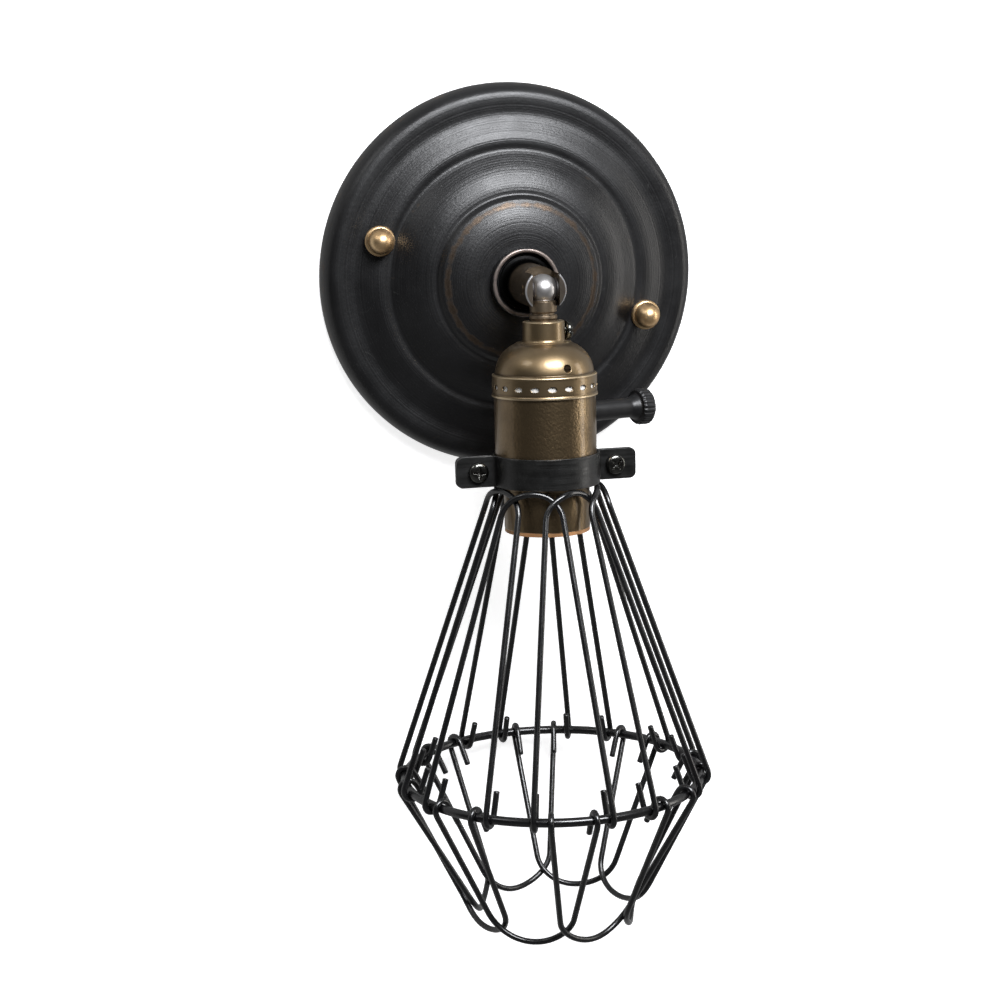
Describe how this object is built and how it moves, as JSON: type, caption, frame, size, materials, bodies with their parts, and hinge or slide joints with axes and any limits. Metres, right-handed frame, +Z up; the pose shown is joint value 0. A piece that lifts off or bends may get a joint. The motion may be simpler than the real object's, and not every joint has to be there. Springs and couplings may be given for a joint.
{
  "type": "cage wall light",
  "caption": "Wall light with a stepped round canopy, a tilting swivel, a brass lampholder with a turn-knob switch, and a wire cage of hooked hairpins and petals.",
  "frame": {"origin": "centre of the canopy's back edge, on the wall plane", "axes": "+X to the right of someone facing the light, +Z up the wall, +Y into the wall; the light stands out towards -Y"},
  "size_m": [0.14, 0.1155, 0.299],
  "materials": {
    "black_canopy": "satin black over bronze, rubbed through on the edges",
    "black_wire": "satin black",
    "black_hardware": "black oxide",
    "polished_brass": "polished",
    "antique_brass": "antiqued, satin",
    "inner_brass": "plain",
    "dark_bronze": "antiqued, dark",
    "bright_nickel": "nickel plated",
    "zinc_steel": "zinc plated",
    "earth_green": "green",
    "red_fibre": "vulcanised fibre",
    "dark_fibre": "dark vulcanised fibre",
    "black_phenolic": "moulded"
  },
  "bodies": {
    "wall_base": {"canopy": "black_canopy", "mounting_bracket": "zinc_steel", "earth_screw": "earth_green", "bracket_studs": "zinc_steel", "ball_nuts": "polished_brass", "nipple": "zinc_steel", "nipple_nut": "zinc_steel", "lock_washer": "zinc_steel", "hub_collar": "black_canopy", "swivel_body": "dark_bronze", "pivot_pin": "bright_nickel", "friction_washers": "dark_fibre"},
    "lamp_head": {"swivel_tongue": "dark_bronze", "socket_cap": "antique_brass", "neck_screw": "black_hardware", "cap_screw": "dark_bronze", "socket_shell": "antique_brass", "shell_liner": "red_fibre", "socket_block": "black_phenolic", "lamp_shell": "inner_brass", "centre_contact": "inner_brass", "terminal_screws": "inner_brass", "clamp_front": "black_hardware", "clamp_back": "black_hardware", "clamp_screws": "black_hardware", "clamp_nuts": "black_hardware", "cage_ring": "black_wire", "hairpin_1": "black_wire", "hairpin_2": "black_wire", "hairpin_3": "black_wire", "hairpin_4": "black_wire", "hairpin_5": "black_wire", "hairpin_6": "black_wire", "hairpin_7": "black_wire", "hairpin_8": "black_wire", "petal_1": "black_wire", "petal_2": "black_wire", "petal_3": "black_wire", "petal_4": "black_wire", "petal_5": "black_wire", "petal_6": "black_wire", "petal_7": "black_wire", "petal_8": "black_wire"},
    "knob": {"switch_knob": "black_phenolic", "switch_stem": "inner_brass", "switch_cam": "black_phenolic"}
  },
  "joints": [
    {"name": "tilt", "type": "hinge", "parent": "wall_base", "child": "lamp_head", "pos_m": [0, -0.0505, 0], "axis": [-1, 0, 0], "range_deg": [0, 174]},
    {"name": "knob_turn", "type": "hinge", "parent": "lamp_head", "child": "knob", "pos_m": [0.02898, -0.04474, -0.04431], "axis": [0.9659, 0.2586, -0.0117], "continuous": true}
  ]
}
